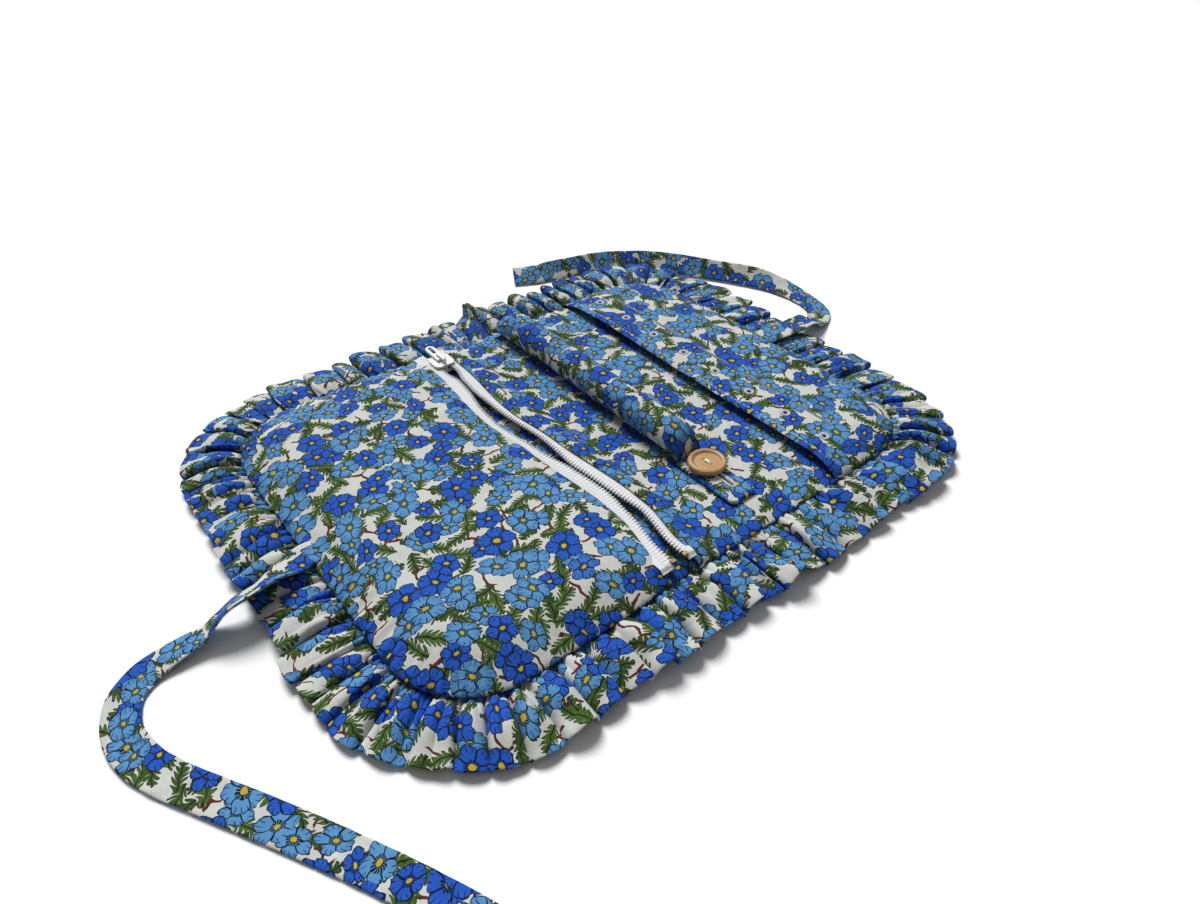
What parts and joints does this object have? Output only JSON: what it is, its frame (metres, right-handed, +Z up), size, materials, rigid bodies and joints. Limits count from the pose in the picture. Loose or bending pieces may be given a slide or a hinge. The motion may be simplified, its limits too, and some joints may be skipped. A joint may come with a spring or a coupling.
{
  "type": "jewelry pouch",
  "caption": "Padded fabric jewelry pouch that folds shut, with a zip pocket, a stuffed ring bar, an earring flap, a gathered frill and tie ribbons.",
  "frame": {"origin": "centre of the underside of the open pouch, where it rests", "axes": "+X from the zip pocket to the earring flap, +Y towards the sewn end of the ring bar, +Z up out of the lining"},
  "size_m": [0.4761, 0.3958, 0.0271],
  "materials": {
    "printed_cotton": "matte",
    "wadding": "matte",
    "zip_tape": "matte",
    "zip_coil": "satin",
    "white_plastic": "satin",
    "brass": "satin",
    "button_wood": "satin",
    "white_thread": "matte"
  },
  "bodies": {
    "near_half": {"cover_near": "printed_cotton", "wadding_near": "wadding", "lining_near": "printed_cotton", "frill_near": "printed_cotton", "pocket_panel": "printed_cotton", "zip_hem": "printed_cotton", "zip_tape_near": "zip_tape", "zip_tape_far": "zip_tape", "zip_coil_near": "zip_coil", "zip_coil_far": "zip_coil", "top_stop_near": "brass", "top_stop_far": "brass", "bottom_stop": "white_plastic", "tie_near": "printed_cotton"},
    "spine": {"cover_spine": "printed_cotton", "wadding_spine": "wadding", "lining_spine": "printed_cotton", "frill_spine_left": "printed_cotton", "frill_spine_right": "printed_cotton"},
    "far_half": {"cover_far": "printed_cotton", "wadding_far": "wadding", "lining_far": "printed_cotton", "frill_far": "printed_cotton", "earring_flap": "printed_cotton", "eyelet_1": "white_thread", "eyelet_2": "white_thread", "eyelet_3": "white_thread", "eyelet_4": "white_thread", "eyelet_5": "white_thread", "eyelet_6": "white_thread", "eyelet_7": "white_thread", "eyelet_8": "white_thread", "button": "button_wood", "button_thread": "white_thread", "tie_far": "printed_cotton"},
    "slider": {"slider_body": "white_plastic"},
    "puller": {"puller": "white_plastic"},
    "ring_bar": {"bar_cover": "printed_cotton", "bar_stuffing": "wadding", "bar_tab": "printed_cotton"}
  },
  "joints": [
    {"name": "spine_fold", "type": "hinge", "parent": "near_half", "child": "spine", "pos_m": [-0.015, 0, 0.008], "axis": [0, -1, 0], "range_deg": [0, 90]},
    {"name": "far_fold", "type": "hinge", "parent": "spine", "child": "far_half", "pos_m": [0.015, 0, 0.008], "axis": [0, -1, 0], "range_deg": [0, 90]},
    {"name": "zip_slide", "type": "slide", "parent": "near_half", "child": "slider", "axis": [0, -1, 0], "range_m": [0, 0.1955]},
    {"name": "puller_flip", "type": "hinge", "parent": "slider", "child": "puller", "pos_m": [-0.026, 0.0948, 0.01612], "axis": [1, 0, 0], "range_deg": [0, 180]},
    {"name": "bar_lift", "type": "hinge", "parent": "far_half", "child": "ring_bar", "pos_m": [0.0285, 0.107, 0.0083], "axis": [1, 0, 0], "range_deg": [-85, 0], "deforming": ["bar_tab"]}
  ]
}
